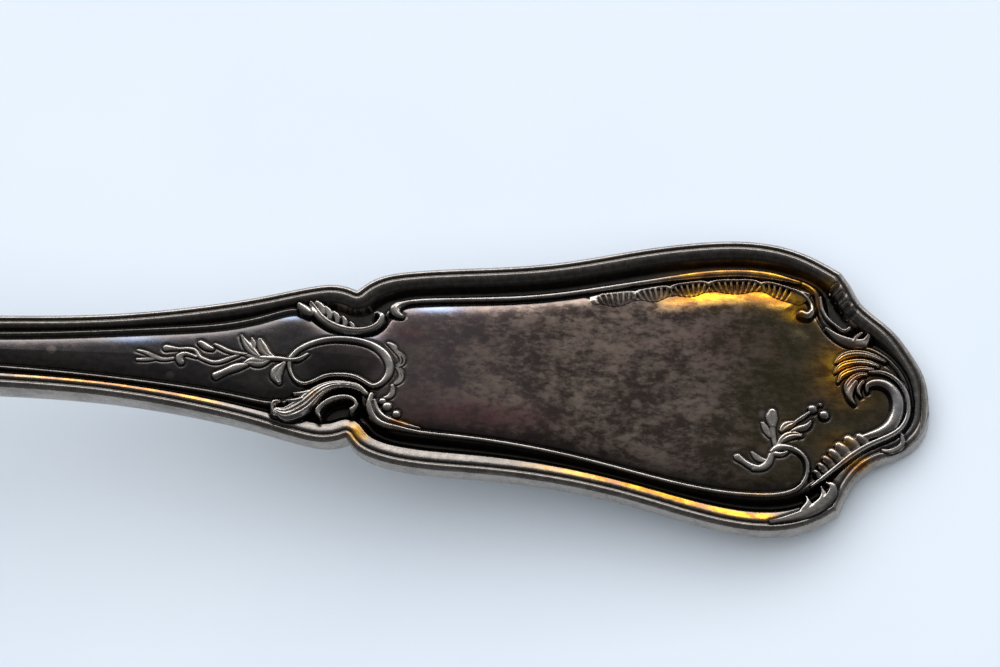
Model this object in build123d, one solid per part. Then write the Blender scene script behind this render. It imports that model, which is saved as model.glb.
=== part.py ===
"""Rococo table spoon, laid face up: a soldered-on egg-shaped bowl, a waisted flat handle with a
channelled border, and the relief ornament of the handle as separate solids.

Millimetres.  X runs along the spoon from the bowl (-X) to the tip of the handle (+X), Y is the
width and Z is up.  The spoon rests on the worn flat under its bowl and on the tip of its handle.
The origin is on that resting plane, under the centre of the spoon's bounding box.
"""
from build123d import *
import math
import os

# ---------------------------------------------------------------- driving dimensions
LENGTH = 210.0
TIP_X = LENGTH / 2
BOWL_FRONT_X = -LENGTH / 2
BOWL_WIDTH = 42.0
BOWL_WIDEST_X = -65.0
BOWL_BACK_X = -38.5
BOWL_WALL = 1.4
BOWL_HALF_DEPTH = 14.0         # vertical half axis of the ellipsoids that the bowl is cut from
WEAR_FLAT_CUT = 0.12           # how deep use has worn the flat under the bowl
RIM_Z = 10.6                   # rim height above the table at the widest place
RIM_SLOPE = 0.02               # the rim rises towards the handle
SEAM = 0.3                     # thickness of the silver solder between stem and bowl
HEEL_THICKNESS = 0.9
HEEL_LENGTH = 15.0
HEEL_HALF_WIDTH = 3.6
HEEL_TOP = 6.5                 # the heel stops at this height, under the stem
HEEL_INSET = 0.6               # the heel starts this far inside the back of the bowl
LIP = 0.75                     # width of the raised lip round the handle
CHANNEL_DEPTH = 0.55
CHANNEL_START_X = -24.0        # the channel runs out on the stem here
SEAM_LENGTH = 1.5              # how far the solder runs in from the back of the bowl
LEAST_VOLUME = 0.001           # slivers of ornament smaller than this (mm3) are left out
RELIEF_ROOT = 0.1              # ornaments over the channel start this far below its floor
REACH = 30.0                   # half width of construction prisms
STEM_INNER_X = -44.0           # the stem is drawn into the bowl as far as this, then cut back

# Side view of the handle: station, height of the top face, thickness there.
SIDE_VIEW = [
    (TIP_X, 2.0, 2.0),
    (85.0, 5.6, 2.0),
    (60.0, 9.3, 2.1),
    (30.0, 13.0, 2.6),
    (0.0, 16.3, 3.4),
    (-18.0, 17.2, 3.8),
    (-28.0, 15.8, 3.7),
    (-34.0, 13.6, 3.3),
    (-38.5, 11.4, 2.9),
    (STEM_INNER_X, 8.9, 2.4),
]

# Plan of the handle.  Both edges of the stem are the same; from the waist on they are drawn apart.
STEM_EDGE = [
    (STEM_INNER_X, 6.8), (-38.5, 4.9), (-34.0, 3.7), (-26.0, 3.0), (-12.0, 2.75), (6.0, 2.75),
    (22.0, 2.9), (33.0, 3.15), (40.5, 3.55), (48.0, 4.6), (53.0, 5.7), (56.5, 6.65), (58.2, 6.9),
    (59.3, 6.75), (60.1, 6.45),
]
UPPER_FLANK = [
    (60.1, 6.45), (60.8, 7.1), (62.0, 7.8), (64.0, 8.3), (70.0, 8.95), (76.0, 9.75),
    (82.0, 11.2), (87.0, 12.2), (91.5, 12.5), (95.0, 11.8), (98.1, 10.2),
]
UPPER_SHOULDER = [
    (98.1, 10.2), (98.9, 9.0), (99.6, 7.7), (100.7, 6.6), (102.2, 5.3), (103.6, 3.4),
    (104.7, 1.2), (TIP_X, -0.9),
]
LOWER_SHOULDER = [
    (TIP_X, -0.9), (104.8, -2.7), (103.9, -4.3), (102.0, -5.6), (100.4, -6.5), (99.3, -7.7),
    (98.6, -9.0), (98.0, -10.5),
]
LOWER_FLANK = [
    (98.0, -10.5), (95.2, -12.1), (92.0, -12.6), (88.0, -12.1), (82.0, -10.6), (76.0, -9.5),
    (70.0, -9.0), (64.0, -8.55), (62.0, -8.0), (60.8, -7.3), (60.1, -6.45),
]

# Plan of the raised panel that the channel runs round.
PANEL_UPPER = [
    (-24.0, 0.9), (0.0, 1.1), (20.0, 1.25), (34.0, 1.5), (46.0, 2.4), (53.0, 3.7), (56.2, 4.35),
    (58.0, 3.3), (60.0, 2.75), (61.8, 3.1), (62.6, 4.2), (63.6, 5.4), (70.0, 6.1), (75.0, 6.6),
    (80.0, 7.5), (85.0, 8.75), (88.5, 9.45), (91.5, 9.6), (94.0, 9.25), (96.0, 8.3),
    (96.6, 6.2), (98.6, 4.1), (101.0, 3.2), (103.0, 1.2), (103.6, -0.9),
]
PANEL_LOWER = [
    (103.6, -0.9), (103.2, -2.8), (101.3, -4.5), (99.0, -5.7), (97.4, -7.1), (95.6, -8.7),
    (92.5, -9.65), (89.0, -9.6), (85.0, -8.95), (80.0, -7.8), (75.0, -6.8), (70.0, -6.15),
    (65.0, -5.75), (62.6, -5.1), (61.6, -3.7), (61.0, -2.2), (59.3, -1.7), (57.2, -2.6),
    (55.2, -3.7), (52.0, -3.5), (46.0, -2.6), (34.0, -1.6), (20.0, -1.25), (0.0, -1.1),
    (-24.0, -0.9),
]


# ---------------------------------------------------------------- shared shapes
def smooth(points):
    """A planar spline through points."""
    return Spline(*[Vector(x, y) for x, y in points])


def prism(face):
    """A plan shape, extruded well above and below the spoon."""
    return extrude(face, amount=REACH, both=True)


def side_band(rise_low, rise_high, under=False):
    """The space between two copies of the handle's side lines, as wide as the spoon.

    Both lines follow the top face, raised by the two amounts; with under, the lower one
    follows the bottom face instead.
    """
    low = [Vector(x, 0, z - (t if under else 0) + rise_low) for x, z, t in SIDE_VIEW]
    high = [Vector(x, 0, z + rise_high) for x, z, _ in SIDE_VIEW]
    ends = [Line(low[0], high[0]), Line(low[-1], high[-1])]
    face = make_face([Spline(*low), Spline(*high), *ends])
    return extrude(face, amount=REACH, dir=(0, 1, 0), both=True)


def ribbon(points, halves):
    """A strip of changing half width along a smooth line, as a plan face."""
    centre = smooth(points)
    left, right = [], []
    for (x, y), half in zip(points, halves):
        along = centre.tangent_at(Vector(x, y))
        left.append((x - along.Y * half, y + along.X * half))
        right.append((x + along.Y * half, y - along.X * half))
    caps = [Line(left[0], right[0]), Line(left[-1], right[-1])]
    return make_face([smooth(left), smooth(right), *caps])


def even(points, half):
    """A ribbon of one half width, tapered a little at both ends."""
    return ribbon(points, [half * 0.6] + [half] * (len(points) - 2) + [half * 0.6])


def beads(places):
    """Round plan faces, one for each (x, y, radius)."""
    return [Pos(x, y) * Circle(r) for x, y, r in places]


# ---------------------------------------------------------------- bowl
def rim_height(x):
    return RIM_Z + RIM_SLOPE * (x - BOWL_WIDEST_X)


def half_axis(reach, x):
    """Horizontal half axis that makes the cut ellipsoid reach that far at the rim."""
    drop = (BOWL_HALF_DEPTH - WEAR_FLAT_CUT - rim_height(x)) / BOWL_HALF_DEPTH
    return reach / math.sqrt(1 - drop * drop)


def bowl_space(grow):
    """The egg-shaped space inside the bowl's outer face, grown outwards by an amount."""
    across = half_axis(BOWL_WIDTH / 2, BOWL_WIDEST_X) + grow
    front = half_axis(BOWL_WIDEST_X - BOWL_FRONT_X, BOWL_FRONT_X) + grow
    back = half_axis(BOWL_BACK_X - BOWL_WIDEST_X, BOWL_BACK_X) + grow
    down = BOWL_HALF_DEPTH + grow
    halves = []
    for along, side in ((front, -1), (back, 1)):
        egg = scale(Sphere(1.0), by=(along, across, down))
        keep = Pos(side * along, 0, 0) * Box(2 * along, 3 * across, 3 * down)
        halves.append(egg & keep)
    centre_z = BOWL_HALF_DEPTH - WEAR_FLAT_CUT
    return Pos(BOWL_WIDEST_X, 0, centre_z) * (halves[0] + halves[1])


def make_bowl():
    shell = bowl_space(0) - bowl_space(-BOWL_WALL)
    rim_plane = Plane(
        origin=(BOWL_WIDEST_X, 0, RIM_Z), z_dir=(-RIM_SLOPE, 0, 1), x_dir=(1, 0, RIM_SLOPE)
    )
    above_rim = rim_plane * Pos(0, 0, REACH) * Box(4 * REACH, 4 * REACH, 2 * REACH)
    under_table = Pos(BOWL_WIDEST_X, 0, -REACH) * Box(4 * REACH, 4 * REACH, 2 * REACH)
    return shell - above_rim - under_table


def make_heel():
    """The tongue under the bowl that backs the joint with the stem."""
    start = BOWL_BACK_X - HEEL_INSET
    end = start - HEEL_LENGTH + HEEL_HALF_WIDTH
    tongue = [
        Line((start, HEEL_HALF_WIDTH), (end, HEEL_HALF_WIDTH)),
        ThreePointArc(
            (end, HEEL_HALF_WIDTH), (end - HEEL_HALF_WIDTH, 0), (end, -HEEL_HALF_WIDTH)
        ),
        Line((end, -HEEL_HALF_WIDTH), (start, -HEEL_HALF_WIDTH)),
        Line((start, -HEEL_HALF_WIDTH), (start, HEEL_HALF_WIDTH)),
    ]
    layer = bowl_space(HEEL_THICKNESS) - bowl_space(0)
    below_stem = Pos(start - HEEL_LENGTH / 2, 0, 0) * Box(2 * HEEL_LENGTH, REACH, 2 * HEEL_TOP)
    return prism(make_face(tongue)) & layer & below_stem


# ---------------------------------------------------------------- handle
def outline_runs():
    """The runs of the handle's outline, from the neck round the tip and back to the neck."""
    lower_stem = [(x, -y) for x, y in reversed(STEM_EDGE)]
    return [STEM_EDGE, UPPER_FLANK, UPPER_SHOULDER, LOWER_SHOULDER, LOWER_FLANK, lower_stem]


def handle_plan():
    runs = outline_runs()
    neck = Line(runs[-1][-1], runs[0][0])
    return make_face([*[smooth(run) for run in runs], neck])


def inside_lip_plan():
    """The handle's plan without its lip: every point of the outline moved inwards."""
    outline = list(dict.fromkeys(point for run in outline_runs() for point in run))
    moved = []
    for i, (x, y) in enumerate(outline):
        x0, y0 = outline[max(i - 1, 0)]
        x1, y1 = outline[min(i + 1, len(outline) - 1)]
        run = math.hypot(x1 - x0, y1 - y0)
        moved.append((x + LIP * (y1 - y0) / run, y - LIP * (x1 - x0) / run))
    return make_face([smooth(moved), Line(moved[-1], moved[0])])


def panel_plan():
    ends = Line(PANEL_LOWER[-1], PANEL_UPPER[0])
    return make_face([smooth(PANEL_UPPER), smooth(PANEL_LOWER), ends])


def stem_and_handle():
    """The handle with its stem, running on into the bowl."""
    return prism(handle_plan()) & side_band(0, 0, under=True)


def make_blank():
    past_neck = Pos(CHANNEL_START_X - REACH, 0, 0) * Box(2 * REACH, 2 * REACH, 4 * REACH)
    channel = prism(inside_lip_plan()) - prism(panel_plan()) - past_neck
    cut = channel & side_band(-CHANNEL_DEPTH, LIP)
    return stem_and_handle() - cut - bowl_space(SEAM)


def make_seam():
    return (stem_and_handle() & bowl_space(SEAM)) - bowl_space(0) - past_seam()


def past_seam():
    """Everything on the bowl's side of the seam."""
    return Pos(BOWL_BACK_X - SEAM_LENGTH - REACH, 0, 0) * Box(2 * REACH, 2 * REACH, 4 * REACH)


# ---------------------------------------------------------------- relief on the handle
def cartouche_frame():
    ring = [
        (55.3, 0.2), (56.0, 0.9), (57.0, 1.6), (58.2, 2.0), (59.6, 2.1), (61.0, 1.95),
        (62.2, 1.4), (63.0, 0.6), (63.3, -0.4), (63.1, -1.3), (62.6, -1.8), (61.9, -2.0),
        (61.1, -1.5), (60.3, -1.15), (59.2, -1.05), (58.0, -1.25), (57.2, -1.7), (56.5, -2.0),
        (55.8, -1.8), (55.4, -1.2), (55.25, -0.5),
    ]
    return [even(ring, 0.21)]


def cartouche_shell_edge():
    lobes = [
        [(62.9, 1.9), (63.2, 1.7), (63.35, 1.35)],
        [(63.6, 1.2), (64.05, 0.8), (64.2, 0.2), (63.9, -0.25)],
        [(63.9, -0.5), (64.2, -0.9), (64.15, -1.4), (63.9, -1.75)],
        [(63.55, -2.0), (63.6, -2.5), (63.3, -2.9), (62.9, -3.05)],
    ]
    return [even(lobe, 0.16) for lobe in lobes]


def leaf_spray():
    return [
        even([(56.9, 0.5), (56.5, 0.05), (55.8, -0.1), (54.6, 0.0), (53.4, 0.0), (52.0, 0.3),
              (50.6, 0.35), (49.2, 0.2)], 0.17),
        ribbon([(54.2, 0.2), (53.5, 0.6), (53.1, 1.2), (52.9, 1.75)], [0.15, 0.3, 0.38, 0.15]),
        ribbon([(52.7, 0.3), (52.3, 1.0), (51.8, 1.7), (51.3, 2.2)], [0.2, 0.35, 0.28, 0.08]),
        ribbon([(54.8, -0.2), (54.5, -0.8), (54.4, -1.4), (54.6, -1.9)], [0.2, 0.38, 0.45, 0.2]),
        ribbon([(53.6, -0.2), (52.9, -0.4), (52.2, -0.3)], [0.15, 0.32, 0.15]),
        ribbon([(52.0, -0.5), (51.0, -0.95), (50.2, -1.35), (49.5, -1.6)], [0.12, 0.3, 0.28, 0.2]),
        ribbon([(51.3, 0.4), (50.3, 0.8), (49.4, 1.15)], [0.15, 0.14, 0.08]),
        ribbon([(49.3, 0.85), (48.8, 1.05), (48.2, 1.3)], [0.15, 0.25, 0.22]),
        even([(48.1, 0.2), (47.6, 0.6), (46.8, 0.75), (45.7, 0.7)], 0.16),
        even([(47.7, 0.1), (47.1, 0.15), (46.7, -0.1), (46.75, -0.5)], 0.18),
        even([(45.9, -0.1), (45.3, -0.35), (44.7, 0.0), (43.9, 0.25), (43.4, 0.45)], 0.1),
        even([(44.8, -0.15), (44.2, -0.25), (43.5, -0.45)], 0.09),
    ]


def upper_scroll():
    return [
        ribbon([(56.0, 4.8), (56.7, 4.15), (57.6, 3.5), (58.6, 2.95), (59.8, 2.65), (61.0, 2.7),
                (62.0, 3.15), (62.45, 3.9), (62.2, 4.6), (61.6, 4.6)],
               [0.55, 0.4, 0.28, 0.25, 0.25, 0.25, 0.25, 0.22, 0.18, 0.12]),
    ]


def upper_scroll_shell():
    rays = [(57.4, 4.5), (58.0, 4.1), (58.6, 3.8), (59.2, 3.5), (59.8, 3.3)]
    return [ribbon([(x, y), (x + 0.12, y - 0.35), (x + 0.3, y - 0.6)], [0.2, 0.22, 0.1])
            for x, y in rays]


def upper_thread():
    """The inner thread along the top of the panel, from its volute to the shoulder."""
    return [
        ribbon([(63.75, 4.2), (63.35, 4.65), (63.6, 5.15), (65.0, 5.55), (70.0, 5.98), (75.0, 6.5),
                (80.0, 7.45), (85.0, 8.7), (88.5, 9.4), (91.5, 9.6), (94.0, 9.25), (96.1, 8.45)],
               [0.25, 0.35, 0.3, 0.2, 0.18, 0.18, 0.18, 0.2, 0.25, 0.28, 0.25, 0.12]),
    ]


def lower_thread():
    """The inner thread along the bottom of the panel, with the comma that starts it."""
    return [
        ribbon([(61.85, -2.7), (61.75, -3.4), (61.85, -4.2), (62.4, -4.9), (63.5, -5.45),
                (65.0, -5.75), (70.0, -6.1), (75.0, -6.75), (80.0, -7.75), (85.0, -8.9),
                (89.0, -9.55), (92.5, -9.6), (94.4, -9.1), (95.3, -8.3), (95.7, -7.3),
                (95.6, -6.4), (95.0, -5.75), (94.1, -5.5)],
               [0.2, 0.35, 0.38, 0.33, 0.28, 0.2, 0.16, 0.15, 0.15, 0.15,
                0.15, 0.15, 0.17, 0.18, 0.16, 0.14, 0.14, 0.12]),
    ]


def lower_acanthus():
    return [
        ribbon([(61.3, -2.7), (60.5, -2.2), (59.3, -2.05), (58.2, -2.45), (57.3, -3.1),
                (56.4, -3.8), (55.5, -4.4), (54.7, -4.3)],
               [0.15, 0.3, 0.42, 0.6, 0.75, 0.75, 0.65, 0.3]),
        ribbon([(57.2, -2.75), (56.4, -2.95), (55.7, -3.05)], [0.2, 0.18, 0.08]),
    ]


def lower_volute():
    return [
        ribbon([(57.9, -4.9), (57.85, -4.3), (58.2, -3.7), (58.9, -3.15), (59.7, -2.95),
                (60.4, -3.1), (60.7, -3.6), (60.5, -4.1)],
               [0.12, 0.3, 0.3, 0.25, 0.22, 0.22, 0.22, 0.25]),
    ]


def side_scroll_beads():
    return beads([(62.85, -3.55, 0.26), (63.35, -3.75, 0.2), (63.85, -4.2, 0.17)])


def fluted_border():
    """A row of short flutes below the upper thread, as on the edge of a shell."""
    line = smooth([(79.5, 7.0), (83.5, 7.85), (87.5, 8.75), (91.0, 9.0), (93.6, 8.75)])
    count = 26
    flutes = []
    for i in range(count):
        top = line @ (i / (count - 1))
        long = 0.7 + 1.0 * math.sin(math.pi * (0.15 + 0.75 * i / count))
        foot = (top.X - 0.15, top.Y - long)
        middle = (top.X - 0.02, top.Y - long / 2)
        flutes.append(ribbon([(top.X, top.Y), middle, foot], [0.2, 0.18, 0.08]))
    hook = [(94.4, 8.55), (95.3, 8.1), (95.8, 7.3), (95.85, 6.6), (95.4, 6.2), (94.95, 6.5)]
    return flutes + [even(hook, 0.17)]


def upper_corner_scroll():
    return [
        ribbon([(96.5, 7.9), (96.5, 6.9), (97.0, 6.0), (97.8, 5.35), (98.7, 5.1)],
               [0.1, 0.2, 0.22, 0.2, 0.12]),
        ribbon([(97.2, 5.0), (98.0, 4.45), (98.9, 4.15), (99.7, 4.2), (100.25, 4.7)],
               [0.12, 0.3, 0.4, 0.4, 0.2]),
    ]


def tip_acanthus():
    strands = [
        [(101.3, 1.9), (100.3, 2.6), (99.1, 2.9), (98.0, 2.7)],
        [(100.9, 1.6), (99.9, 2.1), (98.8, 2.25), (97.8, 2.0)],
        [(100.5, 1.35), (99.6, 1.6), (98.7, 1.5), (97.9, 1.1)],
        [(100.1, 1.1), (99.3, 1.0), (98.6, 0.5), (98.4, -0.2)],
    ]
    tail = ribbon([(99.2, 0.3), (98.9, -0.4), (99.0, -1.0), (99.3, -1.4)], [0.2, 0.22, 0.2, 0.1])
    return [ribbon(s, [0.1, 0.26, 0.28, 0.12]) for s in strands] + [tail]


def tip_scroll():
    return [
        ribbon([(100.4, -0.1), (100.9, 0.3), (101.7, 0.3), (102.4, -0.2), (102.75, -1.1),
                (102.6, -2.1), (102.0, -2.95), (101.1, -3.45), (100.0, -3.55)],
               [0.15, 0.25, 0.35, 0.4, 0.42, 0.4, 0.32, 0.25, 0.1]),
        ribbon([(101.6, 1.2), (102.7, 0.9), (103.35, 0.0), (103.45, -1.2), (103.25, -2.5),
                (102.5, -3.6), (101.3, -4.4), (99.0, -5.7), (97.4, -7.1), (95.9, -8.5)],
               [0.1, 0.17, 0.18, 0.18, 0.2, 0.22, 0.22, 0.18, 0.15, 0.12]),
    ]


def tip_bead_row():
    return beads([(99.5, -4.35, 0.45), (98.65, -4.85, 0.45), (97.9, -5.45, 0.4),
                  (97.25, -6.1, 0.34), (96.75, -6.75, 0.3), (96.35, -7.4, 0.22)])


def flower_sprig():
    return [
        ribbon([(94.1, -5.65), (93.4, -5.7), (92.9, -6.1), (92.6, -6.9), (91.9, -7.45),
                (91.1, -7.25), (90.4, -6.7)], [0.14, 0.28, 0.22, 0.2, 0.25, 0.2, 0.22]),
        ribbon([(93.3, -5.6), (93.1, -4.7), (92.95, -3.7), (93.0, -2.7)], [0.2, 0.22, 0.34, 0.22]),
        ribbon([(92.7, -4.9), (92.45, -4.4), (92.2, -3.8)], [0.12, 0.2, 0.12]),
        ribbon([(93.6, -5.3), (94.0, -4.8), (94.5, -4.5), (95.2, -4.5)], [0.18, 0.28, 0.3, 0.14]),
        ribbon([(93.7, -4.2), (94.1, -3.8), (94.7, -3.5)], [0.16, 0.28, 0.14]),
        ribbon([(94.9, -3.5), (95.3, -3.0), (95.8, -2.55)], [0.12, 0.15, 0.12]),
        *beads([(96.1, -2.15, 0.34), (96.95, -2.55, 0.36)]),
    ]


def lower_corner_leaf():
    return [
        ribbon([(93.6, -11.4), (94.8, -11.15), (96.0, -10.7), (96.9, -10.1), (97.45, -9.4), (97.6, -8.7)],
               [0.1, 0.26, 0.36, 0.38, 0.34, 0.16]),
        ribbon([(95.6, -10.7), (95.75, -10.1), (95.65, -9.55)], [0.28, 0.28, 0.1]),
        ribbon([(96.6, -10.1), (96.9, -9.4), (96.85, -8.75)], [0.28, 0.26, 0.1]),
    ]


# Relief ornament: node name, plan faces, height above the panel.  Where two plans cross, the
# one that comes first keeps the ground.
RELIEF = [
    ("leaf_spray", leaf_spray, 0.50),
    ("cartouche_frame", cartouche_frame, 0.45),
    ("cartouche_shell_edge", cartouche_shell_edge, 0.35),
    ("upper_scroll", upper_scroll, 0.50),
    ("upper_scroll_shell", upper_scroll_shell, 0.35),
    ("upper_thread", upper_thread, 0.30),
    ("lower_thread", lower_thread, 0.30),
    ("lower_acanthus", lower_acanthus, 0.50),
    ("lower_volute", lower_volute, 0.40),
    ("side_scroll_beads", side_scroll_beads, 0.35),
    ("fluted_border", fluted_border, 0.22),
    ("upper_corner_scroll", upper_corner_scroll, 0.40),
    ("tip_scroll", tip_scroll, 0.55),
    ("tip_acanthus", tip_acanthus, 0.45),
    ("tip_bead_row", tip_bead_row, 0.40),
    ("flower_sprig", flower_sprig, 0.40),
    ("lower_corner_leaf", lower_corner_leaf, 0.35),
]


def make_relief(faces, height, blank, taken):
    """One ornament: its plan between the handle's top face and its own height."""
    layer = side_band(-CHANNEL_DEPTH - RELIEF_ROOT, height)
    solids = []
    for face in faces:
        piece = (prism(face) & layer) - blank
        for other in taken + solids:
            if piece.bounding_box().overlaps(other.bounding_box()):
                piece = piece - other
        solids += [s for s in piece.solids() if s.volume > LEAST_VOLUME]
    return solids


def main():
    os.makedirs("parts", exist_ok=True)
    blank = make_blank()
    export_step(make_bowl(), "parts/bowl.step")
    export_step(make_heel(), "parts/bowl_heel.step")
    export_step(make_seam(), "parts/neck_solder_seam.step")
    export_step(blank, "parts/handle_blank.step")
    taken = []
    for name, plan, height in RELIEF:
        solids = make_relief(plan(), height, blank, taken)
        taken += solids
        export_step(Compound(children=solids), f"parts/{name}.step")


main()
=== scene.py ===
"""Looks of the Rococo table spoon: struck relief, tarnished plate, pale table, soft light.

Plan shapes are in millimetres in the frame of the CAD model (X along the spoon, Y across, Z up)
and become metres when a mesh is made.
"""
import math

import bpy
import numpy as np
from mathutils import Matrix, Vector


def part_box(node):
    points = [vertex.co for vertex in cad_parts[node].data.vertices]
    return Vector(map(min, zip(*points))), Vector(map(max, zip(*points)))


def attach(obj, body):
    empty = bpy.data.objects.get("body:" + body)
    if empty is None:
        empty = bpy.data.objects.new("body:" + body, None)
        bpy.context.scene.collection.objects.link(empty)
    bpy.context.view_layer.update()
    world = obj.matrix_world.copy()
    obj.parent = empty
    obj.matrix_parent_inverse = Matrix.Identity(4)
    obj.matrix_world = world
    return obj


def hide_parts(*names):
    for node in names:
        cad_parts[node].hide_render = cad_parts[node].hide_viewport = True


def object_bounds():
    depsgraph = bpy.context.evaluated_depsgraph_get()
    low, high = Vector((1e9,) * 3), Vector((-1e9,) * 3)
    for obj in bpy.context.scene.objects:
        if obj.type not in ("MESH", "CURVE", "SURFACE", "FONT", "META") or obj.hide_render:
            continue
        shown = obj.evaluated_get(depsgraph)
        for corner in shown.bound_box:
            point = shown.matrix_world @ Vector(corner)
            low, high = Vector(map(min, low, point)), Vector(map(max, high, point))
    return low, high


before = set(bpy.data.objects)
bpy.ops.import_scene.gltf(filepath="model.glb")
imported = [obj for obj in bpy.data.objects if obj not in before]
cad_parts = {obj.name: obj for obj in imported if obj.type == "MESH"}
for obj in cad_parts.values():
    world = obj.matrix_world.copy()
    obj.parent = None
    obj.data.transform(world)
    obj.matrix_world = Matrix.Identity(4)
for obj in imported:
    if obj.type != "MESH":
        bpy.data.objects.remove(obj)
cad_low, cad_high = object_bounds()
MM = 0.001

# -------------------- handle: plan and side view (mm)
TIP_X = cad_high.x / MM
NECK_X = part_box("handle_blank")[0].x / MM
SIDE_VIEW = [  # station, height of the top face, thickness
    (-44.0, 8.9, 2.4), (-38.5, 11.4, 2.9), (-34.0, 13.6, 3.3), (-28.0, 15.8, 3.7),
    (-18.0, 17.2, 3.8), (0.0, 16.3, 3.4), (30.0, 13.0, 2.6), (60.0, 9.3, 2.1),
    (85.0, 5.6, 2.0), (TIP_X, 2.0, 2.0),
]
STEM_EDGE = [
    (-44.0, 6.8), (-38.5, 4.9), (-34.0, 3.7), (-26.0, 3.0), (-12.0, 2.75), (6.0, 2.75),
    (22.0, 2.9), (33.0, 3.15), (40.5, 3.55), (48.0, 4.6), (53.0, 5.7), (56.5, 6.65), (58.2, 6.9),
    (59.3, 6.75), (60.1, 6.45),
]
UPPER_FLANK = [
    (60.1, 6.45), (60.8, 7.1), (62.0, 7.8), (64.0, 8.3), (70.0, 8.95), (76.0, 9.75),
    (82.0, 11.2), (87.0, 12.2), (91.5, 12.5), (95.0, 11.8), (98.1, 10.2),
]
UPPER_SHOULDER = [
    (98.1, 10.2), (98.9, 9.0), (99.6, 7.7), (100.7, 6.6), (102.2, 5.3), (103.6, 3.4),
    (104.7, 1.2), (TIP_X, -0.9),
]
LOWER_FLANK = [
    (60.1, -6.45), (60.8, -7.3), (62.0, -8.0), (64.0, -8.55), (70.0, -9.0), (76.0, -9.5),
    (82.0, -10.6), (88.0, -12.1), (92.0, -12.6), (95.2, -12.1), (98.0, -10.5),
]
LOWER_SHOULDER = [
    (98.0, -10.5), (98.6, -9.0), (99.3, -7.7), (100.4, -6.5), (102.0, -5.6), (103.9, -4.3),
    (104.8, -2.7), (TIP_X, -0.9),
]
PANEL_UPPER = [
    (-24.0, 0.9), (0.0, 1.1), (20.0, 1.25), (34.0, 1.5), (46.0, 2.4), (53.0, 3.7), (56.2, 4.35),
    (58.0, 3.3), (60.0, 2.75), (61.8, 3.1), (62.6, 4.2), (63.5, 5.2), (65.0, 5.6), (70.0, 6.0),
    (75.0, 6.55), (80.0, 7.6), (85.0, 8.75), (88.5, 9.4), (91.5, 9.55), (94.0, 9.2), (96.0, 8.3),
    (96.6, 6.2), (98.6, 4.1), (101.0, 3.2), (103.0, 1.2), (103.6, -0.9),
]
PANEL_LOWER = [
    (103.6, -0.9), (103.2, -2.8), (101.3, -4.5), (99.0, -5.9), (97.4, -7.3), (95.6, -8.8),
    (92.5, -9.65), (89.0, -9.6), (85.0, -8.95), (80.0, -7.8), (75.0, -6.8), (70.0, -6.15),
    (65.0, -5.75), (62.6, -5.1), (61.6, -3.7), (61.0, -2.2), (59.3, -1.7), (57.2, -2.6),
    (55.2, -3.7), (52.0, -3.5), (46.0, -2.6), (34.0, -1.6), (20.0, -1.25), (0.0, -1.1),
    (-24.0, -0.9),
]

# Section of the border, measured from the outline inwards or down from the lip.
EDGE_ROUND, EDGE_DROP = 0.34, 0.26
GROOVE_AT, GROOVE_DEPTH = 0.56, 0.09
COVE_FROM, COVE_DEPTH = 0.84, 0.85
COVE_SLOPE = 0.42                # depth of a narrow cove for each mm of its width
PANEL_CROWN = 0.42
SHELL_HOLLOW = 0.26              # how far the far corner of the panel sinks under the shell edge
CHASED_GROOVE = 0.06             # depth of the chased line at the foot of the ornament

# The bowl: half ellipsoids about one upright line, cut by a rim plane that rises to the handle.
BOWL_X, BOWL_Z = -65.0, 13.88
BOWL_FRONT, BOWL_BACK, BOWL_ACROSS, BOWL_DOWN = 41.81, 27.03, 21.60, 14.0
WALL, RIM_HEIGHT, RIM_SLOPE = 1.4, 10.6, 0.02
RIM_ROUND = 0.4                  # height of the rounded edge of the bowl
SOLDER_RADIUS = 0.22             # of the bead of solder round the stem
SOLDER_IN = 0.6                  # the solder follows the stem's section this far inside the bowl

# Fineness of the meshes.
SPACING = 0.03                   # of the samples along an outline or a stroke
SIDE_SPACING = 0.05              # of the samples along the side view and the panel's edge
ROW_STEP = 0.004                 # least distance between rows of the stem inside the bowl's wall
ACROSS = 300                     # points across the handle
CROWDING = 1.25                  # how much closer together they are near the edges
SIDE_START = 0.3                 # the sides of the handle begin this far below the lip
RELIEF_GRID = 0.045              # of the patches of ornament
SKIRT = 0.07                     # the border of a patch dips this far under the handle
BOWL_TURNS, BOWL_LAYERS = 240, 44
LOOP_SIDES = 900                 # enough sides for a loop when only inside or outside matters
CHASED_REACH = 0.6               # how far round a stroke its foot is felt

# Where the silver's film has bloomed in colour: x, y, reach along X, reach along Y, strength.
GOLD_PLACES = [
    (99.7, -6.7, 1.5, 0.8, 1.0), (98.7, 1.5, 1.9, 2.2, 1.0), (64.2, -5.1, 0.9, 0.35, 1.0),
    (60.9, -6.1, 0.7, 0.8, 0.9), (57.5, -3.1, 0.6, 0.6, 0.5), (98.4, -4.9, 1.3, 0.8, 0.5),
    (96.9, 9.0, 0.8, 0.5, 0.7), (94.3, -4.1, 0.9, 0.9, 0.35), (53.3, 0.7, 0.5, 0.5, 0.3),
    (91.8, -9.6, 1.6, 0.2, 0.7), (98.9, -4.9, 0.7, 0.5, 0.75), (97.4, -6.4, 0.7, 0.6, 0.6),
]
ROSE_PLACES = [
    (70.0, -4.2, 5.5, 1.1, 0.9), (64.6, 2.6, 1.2, 0.6, 0.5), (88.0, 3.2, 4.0, 2.0, 0.25),
    (66.0, -2.6, 2.0, 1.0, 0.3), (96.6, -0.9, 0.8, 1.2, 0.35),
]
BLUE_PLACES = [
    (66.6, 4.9, 1.6, 0.4, 0.7), (72.5, 6.3, 1.0, 0.2, 0.6), (102.9, -1.4, 0.7, 2.2, 0.45),
    (60.0, 2.0, 1.8, 0.3, 0.4), (55.0, 3.7, 1.0, 0.3, 0.4), (43.0, 1.2, 2.0, 0.4, 0.35),
]


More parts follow.
